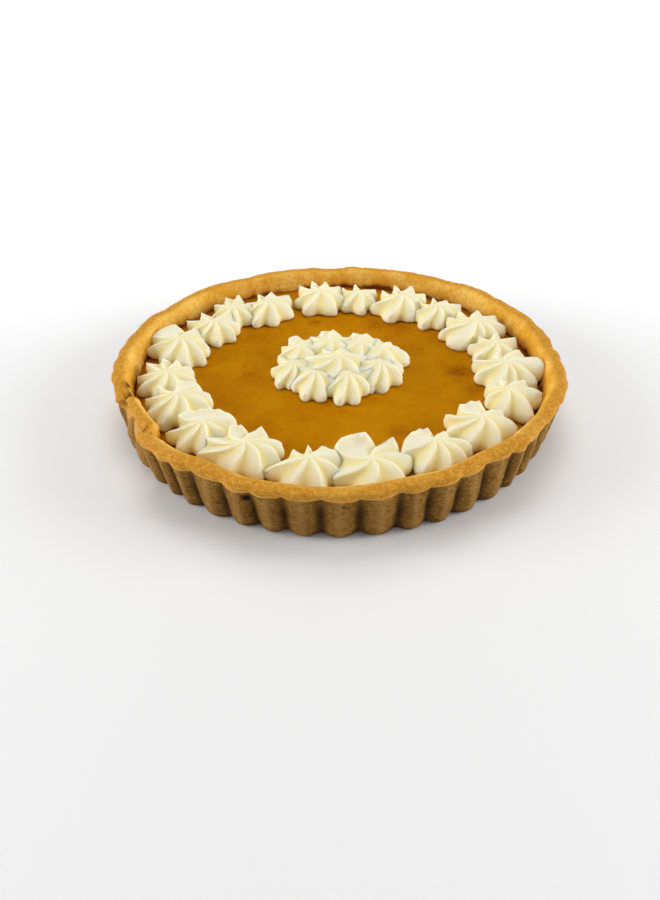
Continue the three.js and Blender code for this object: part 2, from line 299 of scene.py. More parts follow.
# In a joined rosette, a valley between two arms that both end higher than this is so many times
# fuller again.
JOINED_TIP = 5.5
JOINED_FILL = 1.22
# The ridges are kept sharp above this part of the height.
RIDGE_SHARPNESS = 0.7
RIDGE_FROM = 0.4
# The share of an arm that a lift of its tip takes along.
LIFTED_SHARE = 0.5
# How hollow each group of corners is marked, for the painted shade in the cream's hollows.
HOLLOW_MARKS = {"flanks": 0.55, "valleys": 1.0}
# Radius of the round foot that a rosette is drawn from, and its height, a little way into the
# custard.
START_RADIUS = 10.0
ROSETTE_FOOT = 14.6
# How far out an arm may reach before it runs into the wall.
WALL_RADIUS = 106.8

# Baked stains on the pastry: bearing, distance out, height, reach and strength.
PASTRY_STAINS = [
    (-107.9, 112.4, 19.4, 2.4, 1.0),
    (-94.4, 113.6, 17.0, 1.4, 0.7),
    (-88.8, 113.6, 19.9, 1.1, 0.7),
    (-85.6, 113.6, 18.9, 1.1, 0.6),
    (-161.5, 106.6, 24.0, 3.0, 0.85),
    (-156.0, 107.2, 24.0, 2.9, 0.85),
    (-153.9, 108.4, 23.4, 1.6, 0.6),
    (-136.6, 107.6, 24.6, 1.2, 0.5),
    (-136.0, 106.2, 24.4, 1.2, 0.5),
]
# Darker places in the custard: bearing, distance out, reach and strength.
CUSTARD_PATCHES = [
    (104.0, 52.0, 9.0, 0.6),
    (62.0, 52.0, 14.0, 0.5),
    (47.0, 57.0, 12.0, 0.5),
    (15.0, 47.0, 12.0, 0.35),
    (-9.0, 66.0, 12.0, 0.7),
    (-66.0, 67.0, 9.0, 0.4),
    (-164.0, 48.0, 10.0, 0.25),
    (-22.0, 74.0, 9.0, 0.5),
]


# ---------- working by hand ----------


def start_editing(piece):
    """Enters edit mode on the piece alone, with nothing selected."""
    bpy.ops.object.select_all(action="DESELECT")
    piece.select_set(True)
    bpy.context.view_layer.objects.active = piece
    bpy.ops.object.mode_set(mode="EDIT")
    bpy.ops.mesh.select_mode(type="VERT")
    bpy.ops.mesh.select_all(action="DESELECT")


def stop_editing():
    bpy.ops.object.mode_set(mode="OBJECT")


def pick(piece, wanted):
    """Selects the corners whose place, in metres, is wanted, and nothing else."""
    mesh = bmesh.from_edit_mesh(piece.data)
    for corner in mesh.verts:
        corner.select_set(bool(wanted(corner.co)))
    mesh.select_flush(True)
    bmesh.update_edit_mesh(piece.data)


def pick_in_group(piece, group, wanted):
    """Selects the corners filed in that vertex group whose place is wanted."""
    mesh = bmesh.from_edit_mesh(piece.data)
    weights = mesh.verts.layers.deform.verify()
    number = piece.vertex_groups[group].index
    for corner in mesh.verts:
        corner.select_set(number in corner[weights] and bool(wanted(corner.co)))
    mesh.select_flush(True)
    bmesh.update_edit_mesh(piece.data)


def file_in_group(piece, group):
    """Adds the selected corners to a vertex group, made if it is new."""
    found = piece.vertex_groups.get(group) or piece.vertex_groups.new(name=group)
    piece.vertex_groups.active_index = found.index
    bpy.ops.object.vertex_group_assign()


def bearing(place):
    return math.degrees(math.atan2(place.y, place.x))


def on_circle(where, radius, height):
    """The place at a bearing, radius and height, all given in degrees and millimetres."""
    turn = math.radians(where)
    return Vector((radius * math.cos(turn), radius * math.sin(turn), height)) * MM


def turn_from(start, end):
    """Signed turn in degrees between two bearings."""
    return (end - start + 180.0) % 360.0 - 180.0


def out_from_middle(place):
    return math.hypot(place.x, place.y)


def rotate(degrees, centre=MIDDLE):
    """Turns the selection anticlockwise, seen from above."""
    bpy.ops.transform.rotate(value=-math.radians(degrees), orient_axis="Z", center_override=centre)


def widen(factor, centre=MIDDLE):
    """Scales the selection in plan about an upright line through the centre."""
    bpy.ops.transform.resize(value=(factor, factor, 1.0), center_override=centre)


def raise_by(height):
    bpy.ops.transform.translate(value=(0.0, 0.0, height))


def push(piece, place, move, reach, falloff="SMOOTH"):
    """Moves the corner nearest the place, and fades the move out over the reach round it."""
    mesh = bmesh.from_edit_mesh(piece.data)
    nearest = min(mesh.verts, key=lambda corner: (corner.co - place).length_squared)
    pick(piece, lambda co: (co - nearest.co).length < SAME_PLACE)
    bpy.ops.transform.translate(
        value=move,
        use_proportional_edit=True,
        proportional_edit_falloff=falloff,
        proportional_size=reach,
    )


def picked(piece):
    """Numbers of the selected corners."""
    return {corner.index for corner in bmesh.from_edit_mesh(piece.data).verts if corner.select}


def pick_ring(piece, ring, group=None):
    """Selects the corners with those numbers, or only those of them filed in the group."""
    mesh = bmesh.from_edit_mesh(piece.data)
    weights = mesh.verts.layers.deform.verify()
    number = piece.vertex_groups[group].index if group else None
    for corner in mesh.verts:
        corner.select_set(corner.index in ring and (group is None or number in corner[weights]))
    mesh.select_flush(True)
    bmesh.update_edit_mesh(piece.data)


def shape_ring(piece, was, wanted, centre=MIDDLE):
    """Takes the corners of the selected ring, group by group, from one radius to another."""
    ring = picked(piece)
    for group in wanted:
        if group not in piece.vertex_groups:
            continue
        pick_ring(piece, ring, group)
        widen(wanted[group] / was[group], centre)
    pick_ring(piece, ring)


def climb(piece, rise, was, wanted, centre=MIDDLE):
    """Extrudes the selected ring upward and gives it new radii."""
    bpy.ops.mesh.extrude_region_move(TRANSFORM_OT_translate={"value": (0.0, 0.0, rise * MM)})
    shape_ring(piece, was, wanted, centre)


def place_ring(piece, height, radius):
    """Moves the selected ring, centred on the pie's axis, to a height and radius."""
    ring = picked(piece)
    mesh = bmesh.from_edit_mesh(piece.data)
    corner = next(corner for corner in mesh.verts if corner.index in ring)
    raise_by(height * MM - (piece.matrix_world @ corner.co).z)
    widen(radius * MM / out_from_middle(corner.co))


def pick_edge_ring(piece, wanted):
    """Selects the open edge of the piece where its place is wanted."""
    mesh = bmesh.from_edit_mesh(piece.data)
    bpy.ops.mesh.select_all(action="DESELECT")
    for edge in mesh.edges:
        if edge.is_boundary and wanted(edge.verts[0].co):
            edge.select_set(True)
    bmesh.update_edit_mesh(piece.data)


def close_to_middle(piece):
    """Closes the selected ring with a flat face drawn in to one point."""
    bpy.ops.mesh.extrude_region_move()
    bpy.ops.mesh.merge(type="CENTER")


def sharpen(piece, group, sharpness, wanted):
    """Keeps the edges along a group's corners sharp when the piece is smoothed."""
    pick_in_group(piece, group, wanted)
    bpy.ops.transform.edge_crease(value=sharpness)


def apply_modifier(piece, kind, **settings):
    """Adds a modifier with those settings and applies it."""
    bpy.ops.object.select_all(action="DESELECT")
    piece.select_set(True)
    bpy.context.view_layer.objects.active = piece
    modifier = piece.modifiers.new(kind.lower(), kind)
    for setting, value in settings.items():
        setattr(modifier, setting, value)
    bpy.ops.object.modifier_apply(modifier=modifier.name)


def subdivide_smoothly(piece, levels):
    apply_modifier(piece, "SUBSURF", levels=levels, render_levels=levels)


def roughen(piece, pattern, strength, group="", direction="NORMAL"):
    """Moves the surface by a procedural pattern, up to about half the strength each way."""
    apply_modifier(
        piece, "DISPLACE", texture=pattern, strength=strength * MM, mid_level=0.5,
        texture_coords="LOCAL", direction=direction, vertex_group=group,
    )


def lumps(name, size, fineness):
    """Soft uneven lumps of about that size in millimetres."""
    pattern = bpy.data.textures.new(name, "CLOUDS")
    pattern.noise_scale = size * MM
    pattern.noise_depth = fineness
    return pattern


def finish_piece(piece, name, finish, slot, *nodes):
    """Puts the piece's place into its mesh, smooths it, and gives it its finish and its body."""
    bpy.ops.object.select_all(action="DESELECT")
    piece.select_set(True)
    bpy.context.view_layer.objects.active = piece
    bpy.ops.object.transform_apply(location=True, rotation=True, scale=True)
    bpy.ops.object.shade_smooth()
    piece.name = name
    piece.data.name = name
    piece.data.materials.clear()
    piece.data.materials.append(finish)
    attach(piece, "root")
    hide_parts(*nodes)


# ---------- pastry case ----------


def flute_widths():
    """Degrees that each flute takes, from the left of the front round."""
    others = FLUTES - len(FRONT_FLUTES)
    left = 360.0 - sum(FRONT_FLUTES)
    uneven = [1.0] * others
    for share, step in OTHER_FLUTES_SWAY:
        uneven = [width + share * math.sin(step * flute) for flute, width in enumerate(uneven)]
    return FRONT_FLUTES + [left * width / sum(uneven) for width in uneven]


def flute_stations():
    """Bearing and group of every corner round the case."""
    stations = []
    crease = FRONT_FLUTES_START
    for width in flute_widths():
        for group, along, _ in FLUTE_CORNERS:
            stations.append((crease + along * width, group))
        crease += width
    return stations


def lay_out_flutes(case):
    """Turns each corner of the round outline to its place on a flute and files it."""
    mesh = bmesh.from_edit_mesh(case.data)
    places = [corner.co.copy() for corner in mesh.verts]
    places.sort(key=lambda co: (bearing(co) - FRONT_FLUTES_START) % 360.0)
    for place, (wanted, group) in zip(places, flute_stations()):
        pick(case, lambda co: (co - place).length < SAME_PLACE)
        file_in_group(case, group)
        rotate(turn_from(bearing(place), wanted))


def flute_radii(crest, depth):
    """Radius of each group of corners round the case."""
    return {group: crest - inset * depth for group, _, inset in FLUTE_CORNERS}


def build_case():
    """Draws a fluted outline up the side, over the rim and down to the floor, and bakes it."""
    foot = SIDE[0][1]
    bpy.ops.mesh.primitive_circle_add(
        vertices=FLUTES * len(FLUTE_CORNERS), radius=foot * MM, location=MIDDLE
    )
    case = bpy.context.object
    start_editing(case)
    lay_out_flutes(case)
    bpy.ops.mesh.select_all(action="SELECT")
    shape_ring(case, flute_radii(foot, 0.0), flute_radii(*SIDE[0][1:]))
    profile = SIDE + INSIDE
    for before, after in zip(profile, profile[1:]):
        climb(case, after[0] - before[0], flute_radii(*before[1:]), flute_radii(*after[1:]))
    sharpen(
        case, "creases", CREASE_SHARPNESS,
        lambda co: out_from_middle(co) > WALL_MIDDLE * MM and co.z < RIM_FROM * MM,
    )
    file_parts(case)
    stop_editing()
    mark_zones(case)
    mark_flutes(case)
    start_editing(case)
    swell_and_dip(case)
    stop_editing()
    subdivide_smoothly(case, 1)
    break_rim(case)
    subdivide_smoothly(case, 1)
    pit_rim(case)
    crumble(case)
    close_foot(case)
    return case


def file_parts(case):
    """Files what stands clear of the foot and the floor, the lip under the rim and the rim."""
    pick(case, lambda co: co.z > FOOT_TOP * MM and out_from_middle(co) > FLOOR_EDGE * MM)
    file_in_group(case, "clear_of_foot")
    pick(
        case,
        lambda co: LIP_FROM * MM < co.z < RIM_FROM * MM and out_from_middle(co) > LIP_OUTSIDE * MM,
    )
    file_in_group(case, "lip")
    pick(case, lambda co: co.z > RIM_FROM * MM)
    file_in_group(case, "rim")


def swell_and_dip(case):
    for where, reach, depth in RIM_DIPS:
        low_place = on_circle(where, RIM_MIDDLE, RIM_HEIGHT)
        push(case, low_place, (0.0, 0.0, -depth * MM), reach * MM)
    for where, reach, swell in RIM_SWELLS:
        push(case, on_circle(where, RIM_EDGE, RIM_HEIGHT), on_circle(where, swell, 0.0), reach * MM)


def mark_zones(case):
    """Marks how far along its outline each corner lies: 0 side, 1 rim, 2 inside wall."""
    zone = case.data.attributes.new("zone", "FLOAT", "POINT")
    for corner, mark in zip(case.data.vertices, zone.data):
        height, out, _ = (SIDE + INSIDE)[corner.index // (FLUTES * len(FLUTE_CORNERS))]
        if height > LIP_FROM or out < WALL_MIDDLE:
            mark.value = min(2.0, 1.0 + max(0.0, RIM_MIDDLE - out) / RIM_TO_INSIDE)
        elif broken_away(corner.co):
            above = max(0.0, height - BREAK_GOLDEN_FROM)
            mark.value = BREAK_GOLDEN * above / (LIP_FROM - BREAK_GOLDEN_FROM)


def mark_corners(piece, name, marks):
    """Marks each corner with the number of the group it is filed in, or nought."""
    attribute = piece.data.attributes.new(name, "FLOAT", "POINT")
    numbers = {piece.vertex_groups[group].index: mark for group, mark in marks.items()}
    for corner, mark in zip(piece.data.vertices, attribute.data):
        mark.value = max((numbers.get(filed.group, 0.0) for filed in corner.groups), default=0.0)


def mark_flutes(case):
    """Marks how deep in a flute's crease each corner lies, for the painted shade in the creases and the
    painted highlight on the crests, less where the rim has broken away.
    """
    mark_corners(case, "crease", CREASE_MARKS)
    for corner, mark in zip(case.data.vertices, case.data.attributes["crease"].data):
        if broken_away(corner.co):
            mark.value *= BREAK_CREASE


def broken_away(place):
    """Whether the place lies along the broken stretch of the case."""
    return BREAK_FROM < bearing(place) < BREAK_TO


def tear(case, start, lowest, most, seed):
    """Moves each corner of the torn rim at random, by no more than the most."""
    pick(case, lambda co: start < bearing(co) < BREAK_TO and co.z > lowest * MM)
    bpy.ops.transform.vertex_random(offset=most * MM, seed=seed)


def break_rim(case):
    """Takes the outer edge off the broken stretch, leans it in, cracks it and tears it."""
    start_editing(case)
    pick(
        case,
        lambda co: broken_away(co)
        and co.z > LOST_ABOVE * MM
        and out_from_middle(co) > LOST_OUTSIDE * MM,
    )
    widen(1.0 - BREAK_LOSS / LOST_AT)
    for height in LEAN_HEIGHTS:
        pick(case, lambda co: broken_away(co) and co.z > height * MM)
        widen(1.0 - BREAK_LEAN / len(LEAN_HEIGHTS) / WALL_MIDDLE)
    for where, out, reach, depth in RIM_CRACKS:
        crack = on_circle(where, out, RIM_HEIGHT)
        push(case, crack, (0.0, 0.0, -depth * MM), reach * MM, "SHARP")
    tear(case, *TORN_COARSELY)
    stop_editing()


def pit_rim(case):
    """Pits the two ends of the broken stretch, and tears it finely."""
    start_editing(case)
    for where, out, reach, depth in RIM_PITS:
        move = on_circle(where, PIT_SLANT * depth, -depth)
        push(case, on_circle(where, out, RIM_HEIGHT), move, reach * MM, "SPHERE")
    tear(case, *TORN_FINELY)
    stop_editing()


def crumble(case):
    for name, size, fineness, strength, part, direction in CRUMBLING:
        roughen(case, lumps(name, size, fineness), strength, part, direction)


def close_foot(case):
    """Levels the foot, and closes the underside and the floor."""
    start_editing(case)
    pick(case, lambda co: co.z < FOOT_UNEVENNESS * MM)
    bpy.ops.transform.resize(value=(1.0, 1.0, 0.0), center_override=MIDDLE)
    pick_edge_ring(case, lambda co: co.z < FOOT_TOP * MM)
    close_to_middle(case)
    pick_edge_ring(case, lambda co: co.z > FOOT_TOP * MM)
    close_to_middle(case)
    stop_editing()


# ---------- custard ----------


def build_custard():
    """Draws a round edge up and in, ring by ring, to the middle of the custard's top."""
    bpy.ops.mesh.primitive_circle_add(
        vertices=ROUND, radius=CUSTARD_RADIUS * MM, location=(0.0, 0.0, CUSTARD_FOOT * MM)
    )
    custard = bpy.context.object
    start_editing(custard)
    bpy.ops.mesh.select_all(action="SELECT")
    for height, radius in CUSTARD_EDGE:
        bpy.ops.mesh.extrude_region_move()
        place_ring(custard, height, radius)
    edge = CUSTARD_EDGE[-1][1]
    for ring in range(1, CUSTARD_RINGS):
        bpy.ops.mesh.extrude_region_move()
        place_ring(custard, CUSTARD_LEVEL, edge * (1.0 - ring / CUSTARD_RINGS))
    pick(custard, lambda co: co.z > CUSTARD_TOP_FROM * MM)
    file_in_group(custard, "top")
    stop_editing()
    subdivide_smoothly(custard, 2)
    roughen(custard, lumps("skin", 32.0, 1), 0.7, "top")
    roughen(custard, lumps("set", 5.0, 1), 0.12, "top")
    start_editing(custard)
    pick_edge_ring(custard, lambda co: co.z < CUSTARD_HALFWAY * MM)
    close_to_middle(custard)
    pick_edge_ring(custard, lambda co: co.z > CUSTARD_HALFWAY * MM)
    close_to_middle(custard)
    stop_editing()
    return custard


# ---------- cream ----------


def star_radii(ridge, valley, flank):
    """Share of its reach at which each group of corners stands at one level of a star."""
    return {
        "ridges": ridge,
        "leaves": ridge,
        "flanks": ridge - flank * (ridge - valley),
        "valleys": valley,
    }


def pipe_rosette(where, out, height, curl, arms, joined):
    """Pipes one star: a round foot drawn up into arms that close over a pointed peak.

    In a joined one, the high arms between it and its neighbours run together.
    """
    centre = on_circle(where, out, ROSETTE_FOOT)
    bpy.ops.mesh.primitive_circle_add(
        vertices=(1 + len(VALLEY_STEPS)) * len(arms),
        radius=START_RADIUS * MM,
        fill_type="NGON",
        location=centre,
    )
    rosette = bpy.context.object
    start_editing(rosette)
    lay_out_star(rosette, arms, joined)
    bpy.ops.mesh.select_all(action="SELECT")
    body = CUSTARD_LEVEL + height - ROSETTE_FOOT
    shape_ring(rosette, star_radii(1.0, 1.0, 0.0), star_radii(*ROSETTE_LEVELS[0][1:]), centre)
    for before, after in zip(ROSETTE_LEVELS, ROSETTE_LEVELS[1:]):
        rise = (after[0] - before[0]) * body
        climb(rosette, rise, star_radii(*before[1:]), star_radii(*after[1:]), centre)
        rotate(curl * max(before[1] - after[1], 0.0), centre)
    peak = (PEAK_LEVEL - ROSETTE_LEVELS[-1][0]) * body * MM
    bpy.ops.mesh.extrude_region_move(TRANSFORM_OT_translate={"value": (0.0, 0.0, peak)})
    bpy.ops.mesh.merge(type="CENTER")
    sharpen(rosette, "ridges", RIDGE_SHARPNESS, lambda co: co.z > RIDGE_FROM * body * MM)
    lift_arms(rosette, arms, body)
    stop_editing()
    mark_corners(rosette, "hollow", HOLLOW_MARKS)
    subdivide_smoothly(rosette, 2)
    roughen(rosette, CREAM_LUMPS, 1.0)
    return rosette


def fullness(gap, tips, joined):
    """Share of its reach at which each group of corners between two arms stands."""
    fuller = 1.0 + CLOSE_FILL * (1.0 - min(gap, CLOSE_GAP) / CLOSE_GAP)
    if joined and min(tips) > JOINED_TIP:
        fuller *= JOINED_FILL
    return {"ridges": 1.0, "leaves": 1.0, "flanks": fuller ** 0.5, "valleys": fuller}


def star_stations(arms, joined):
    """Bearing, group and reach of every corner round a star's foot."""
    stations = []
    for arm, (start, reach, tip) in enumerate(arms):
        end, next_reach, next_tip = arms[(arm + 1) % len(arms)]
        gap = (end - start) % 360.0
        since_last = (start - arms[arm - 1][0]) % 360.0
        ridge = "leaves" if gap < LEAF_GAP and since_last < LEAF_GAP else "ridges"
        steps = LEAF_STEPS if gap < LEAF_GAP else VALLEY_STEPS
        share = fullness(gap, (tip, next_tip), joined)
        for along, group in [(0.0, ridge), *steps]:
            between = reach + along * (next_reach - reach)
            stations.append((start + along * gap, group, share[group] * between))
    return stations


def lay_out_star(rosette, arms, joined):
    """Moves each corner of the round foot to its place on a star and files it."""
    mesh = bmesh.from_edit_mesh(rosette.data)
    corners = sorted(mesh.verts, key=lambda corner: (bearing(corner.co) - arms[0][0]) % 360.0)
    numbers = [corner.index for corner in corners]
    for number, (turn, group, reach) in zip(numbers, star_stations(arms, joined)):
        pick_ring(rosette, {number})
        file_in_group(rosette, group)
        mesh = bmesh.from_edit_mesh(rosette.data)
        mesh.verts.ensure_lookup_table()
        bpy.ops.transform.translate(value=on_circle(turn, reach, 0.0) - mesh.verts[number].co)


def lift_arms(rosette, arms, body):
    """Raises or lowers the arms' tips from the height that the levels give them."""
    level, tip_reach = TIP_LEVEL[:2]
    for turn, reach, height in arms:
        tip = on_circle(turn, tip_reach * reach, level * body)
        lift = height - level * body
        push(rosette, tip, (0.0, 0.0, lift * MM), LIFTED_SHARE * reach * MM)


def held_in(where, out, turn, reach):
    """The arm's reach, or less where it would run into the wall of the case."""
    middle = on_circle(where, out, 0.0) / MM
    along = middle.dot(on_circle(turn, 1.0, 0.0) / MM)
    room = -along + math.sqrt(along ** 2 - middle.length_squared + WALL_RADIUS ** 2)
    return min(reach, room)


def build_rosettes(prefix, rosettes, joined=False):
    """Pipes every rosette of a table, each for the node of its number."""
    for index, (where, out, height, curl, arms) in enumerate(rosettes):
        name = f"{prefix}_{index + 1:02d}"
        arms = sorted((turn, held_in(where, out, turn, reach), tip) for turn, reach, tip in arms)
        rosette = pipe_rosette(where, out, height, curl, arms, joined)
        finish_piece(rosette, "piped_" + name, CREAM, "cream", name)


# ---------- finishes ----------


class Finish:
    """A material and the few kinds of node that the pie's finishes are made of."""

    def __init__(self, name, **settings):
        self.material = bpy.data.materials.new(name)
        self.material.use_nodes = True
        self.nodes = self.material.node_tree.nodes
        self.links = self.material.node_tree.links
        self.shader = self.nodes["Principled BSDF"]
        for socket, value in settings.items():
            self.shader.inputs[socket.replace("_", " ")].default_value = value
        self.place = self.nodes.new("ShaderNodeTexCoord").outputs["Object"]

    def join(self, value, socket):
        """Feeds a socket from an output, or sets it to a plain value."""
        if isinstance(value, bpy.types.NodeSocket):
            self.links.new(value, socket)
        else:
            socket.default_value = value

    def squeezed(self, scale):
        """Places on the piece, scaled along each axis, for a pattern that is narrower there."""
        node = self.nodes.new("ShaderNodeMapping")
        node.inputs["Scale"].default_value = scale
        self.links.new(self.place, node.inputs["Vector"])
        return node.outputs["Vector"]

    def noise(self, size, detail=3.0, roughness=0.55, place=None, distortion=0.0):
        """A cloudy pattern with lumps of about that size in millimetres."""
        node = self.nodes.new("ShaderNodeTexNoise")
        node.inputs["Scale"].default_value = 1.0 / (size * MM)
        node.inputs["Detail"].default_value = detail
        node.inputs["Roughness"].default_value = roughness
        node.inputs["Distortion"].default_value = distortion
        self.links.new(place or self.place, node.inputs["Vector"])
        return node.outputs["Fac"]

    def specks(self, spacing):
        """Distance to the nearest of points scattered about that far apart."""
        node = self.nodes.new("ShaderNodeTexVoronoi")
        node.inputs["Scale"].default_value = 1.0 / (spacing * MM)
        self.links.new(self.place, node.inputs["Vector"])
        return node.outputs["Distance"]

    def fade(self, value, start, end, low=0.0, high=1.0):
        """Goes smoothly from low to high as the value goes from start to end."""
        node = self.nodes.new("ShaderNodeMapRange")
        node.interpolation_type = "SMOOTHSTEP"
        self.join(value, node.inputs["Value"])
        numbers = {"From Min": start, "From Max": end, "To Min": low, "To Max": high}
        for socket, number in numbers.items():
            node.inputs[socket].default_value = number
        return node.outputs["Result"]

    def reckon(self, kind, first, second):
        node = self.nodes.new("ShaderNodeMath")
        node.operation = kind
        self.join(first, node.inputs[0])
        self.join(second, node.inputs[1])
        return node.outputs[0]

    def both(self, first, second):
        """The share where the two overlap."""
        return self.reckon("MULTIPLY", first, second)

    def blend(self, share, first, second):
        """Paints that share of the second colour over the first."""
        node = self.nodes.new("ShaderNodeMix")
        node.data_type = "RGBA"
        self.join(share, node.inputs[0])
        self.join(first, node.inputs[6])
        self.join(second, node.inputs[7])
        return node.outputs[2]

    def height(self):
        node = self.nodes.new("ShaderNodeSeparateXYZ")
        self.links.new(self.place, node.inputs[0])
        return node.outputs[2]

    def marked(self, name):
        """A number marked on the piece's corners."""
        node = self.nodes.new("ShaderNodeAttribute")
        node.attribute_name = name
        return node.outputs["Fac"]

    def near(self, place, start, end):
        """Fades from one to nothing between two distances from a place, in millimetres."""
        node = self.nodes.new("ShaderNodeVectorMath")
        node.operation = "DISTANCE"
        self.links.new(self.place, node.inputs[0])
        node.inputs[1].default_value = place
        return self.fade(node.outputs["Value"], start * MM, end * MM, 1.0, 0.0)

    def bump(self, height, distance, strength, under=None):
        """Raises the surface by the pattern, on top of another bump where one lies under it."""
        node = self.nodes.new("ShaderNodeBump")
        self.join(strength, node.inputs["Strength"])
        node.inputs["Distance"].default_value = distance * MM
        self.links.new(height, node.inputs["Height"])
        if under is not None:
            self.links.new(under, node.inputs["Normal"])
        return node.outputs["Normal"]

    def finish(self, **sockets):
        """Feeds the shader's sockets, and hands over the material."""
        for socket, value in sockets.items():
            self.join(value, self.shader.inputs[socket.replace("_", " ")])
        return self.material


def colour(red, green, blue):
    """A display colour, 0 to 255, as the light it stands for."""
    def linear(part):
        part /= 255.0
        return part / 12.92 if part <= 0.04045 else ((part + 0.055) / 1.055) ** 2.4
    return (linear(red), linear(green), linear(blue), 1.0)


# The golden rim, with its crumb and its paler patches, and the painted highlight along the lip under
# it.
RIM_GOLDEN = colour(196, 132, 32)
RIM_PALE = colour(220, 163, 64)
RIM_CRUMB = colour(160, 98, 20)
RIM_PATCHES = colour(222, 170, 84)
LIP_HIGHLIGHT = colour(226, 178, 104)
# The duller side, with its browner patches, painted shade at its foot, a painted highlight on its
# flutes' ridges and painted shade in their creases.
SIDE_BROWN = colour(108, 73, 20)
SIDE_PALE = colour(168, 123, 56)
SIDE_PATCHES = colour(96, 62, 18)
SIDE_FOOT_SHADE = colour(52, 30, 8)
SIDE_RIDGE_HIGHLIGHT = colour(190, 150, 92)
SIDE_CREASE_SHADE = colour(50, 29, 7)
# The wall inside, which is browner and then wet towards the custard.
INSIDE_GOLDEN = colour(232, 170, 52)
INSIDE_PALE = colour(248, 202, 98)
INSIDE_MOTTLE = colour(196, 128, 34)
INSIDE_CRUMB = colour(172, 106, 24)
INSIDE_BAKED = colour(176, 96, 20)
INSIDE_WET = colour(104, 46, 12)
STAIN = colour(40, 18, 5)
# The custard, its darker places, and its edge, browned and with painted shade against the wall.
CUSTARD_ORANGE = colour(181, 114, 1)
CUSTARD_PALE = colour(191, 127, 2)
CUSTARD_MOTTLE = colour(170, 96, 1)
CUSTARD_FRECKLES = colour(146, 82, 1)
CUSTARD_DARK = colour(140, 62, 4)
CUSTARD_EDGE_BROWN_AND_SHADE = colour(128, 60, 6)
CUSTARD_SPECKS = colour(96, 48, 4)
# The cream, and the yellowish painted shade in its hollows.
CREAM_IVORY = colour(238, 232, 204)
CREAM_HOLLOW_SHADE = colour(240, 226, 160)
# How far light of each colour goes in it, as a share of CREAM_DEPTH in millimetres.
CREAM_DEPTH = 3.0
CREAM_SOFTNESS = (1.0, 0.8, 0.45)
FLOOR_GREY = (0.86, 0.86, 0.86, 1.0)
FLOOR_PALE = (0.9, 0.9, 0.9, 1.0)


def pastry_finish():
    """Browned by zone: 0 is the side, 1 the rim and 2 the wall inside."""
    pastry = Finish("baked pastry", Specular_IOR_Level=0.1)
    height = pastry.height()
    crease = pastry.marked("crease")
    broad = pastry.noise(18.0, 3.0)
    mottle = pastry.noise(1.8, 4.0, 0.65)
    crumb = pastry.noise(0.6, 3.0, 0.7)
    streaks = pastry.noise(4.5, 4.0, 0.65, pastry.squeezed((1.0, 1.0, 2.6)), 3.0)
    zone = pastry.reckon("ADD", pastry.marked("zone"), pastry.fade(broad, 0.3, 0.7, -0.15, 0.15))

    rim = pastry.blend(pastry.fade(mottle, 0.35, 0.65), RIM_GOLDEN, RIM_PALE)
    rim = pastry.blend(pastry.fade(crumb, 0.33, 0.5, 0.6, 0.0), rim, RIM_CRUMB)
    rim = pastry.blend(pastry.fade(broad, 0.5, 0.8, 0.0, 0.4), rim, RIM_PATCHES)

    side = pastry.blend(pastry.fade(streaks, 0.35, 0.65), SIDE_BROWN, SIDE_PALE)
    side = pastry.blend(pastry.fade(broad, 0.45, 0.75, 0.0, 0.5), side, SIDE_PATCHES)
    # Painted shade, darker towards the foot where it meets the floor.
    side = pastry.blend(pastry.fade(height, 5.0 * MM, 0.0, 0.0, 0.7), side, SIDE_FOOT_SHADE)
    # Painted highlight along the flutes' crests.
    side = pastry.blend(pastry.fade(crease, 0.2, 0.0, 0.0, 0.3), side, SIDE_RIDGE_HIGHLIGHT)
    # Painted shade in the flutes' creases, deeper lower down.
    deep = pastry.fade(crease, 0.15, 1.0, 0.0, 0.88)
    low = pastry.fade(height, 23.0 * MM, 12.0 * MM, 0.55, 1.0)
    side = pastry.blend(pastry.both(deep, low), side, SIDE_CREASE_SHADE)

    inside = pastry.blend(pastry.fade(broad, 0.35, 0.65), INSIDE_GOLDEN, INSIDE_PALE)
    inside = pastry.blend(pastry.fade(mottle, 0.4, 0.7, 0.0, 0.5), inside, INSIDE_MOTTLE)
    inside = pastry.blend(pastry.fade(crumb, 0.3, 0.45, 0.35, 0.0), inside, INSIDE_CRUMB)

    # Painted highlight where the lip's lower edge catches the light.
    lip = pastry.both(pastry.fade(zone, 0.2, 0.45), pastry.fade(zone, 0.85, 0.55))
    shade = pastry.blend(pastry.fade(zone, 0.15, 0.6), side, rim)
    shade = pastry.blend(pastry.both(lip, 0.45), shade, LIP_HIGHLIGHT)
    shade = pastry.blend(pastry.fade(zone, 1.0, 1.9), shade, inside)

    within = pastry.fade(zone, 1.5, 1.9)
    wavy = pastry.reckon("ADD", height, pastry.fade(broad, 0.3, 0.7, -2.0 * MM, 2.0 * MM))
    baked = pastry.both(within, pastry.fade(wavy, 20.0 * MM, 14.5 * MM))
    shade = pastry.blend(pastry.both(baked, 0.6), shade, INSIDE_BAKED)
    wet = pastry.both(within, pastry.fade(wavy, 17.5 * MM, 14.8 * MM))
    shade = pastry.blend(wet, shade, INSIDE_WET)
    for where, out, above, reach, strength in PASTRY_STAINS:
        spot = pastry.near(on_circle(where, out, above), 0.3 * reach, 1.2 * reach)
        shade = pastry.blend(pastry.both(spot, strength), shade, STAIN)

    normal = pastry.bump(crumb, 0.3, 0.6)
    normal = pastry.bump(mottle, 0.5, 0.4, normal)
    normal = pastry.bump(streaks, 0.6, pastry.fade(zone, 0.2, 0.7, 0.45, 0.0), normal)
    dryness = pastry.fade(crumb, 0.3, 0.7, 0.7, 0.95)
    return pastry.finish(Base_Color=shade, Roughness=dryness, Normal=normal)


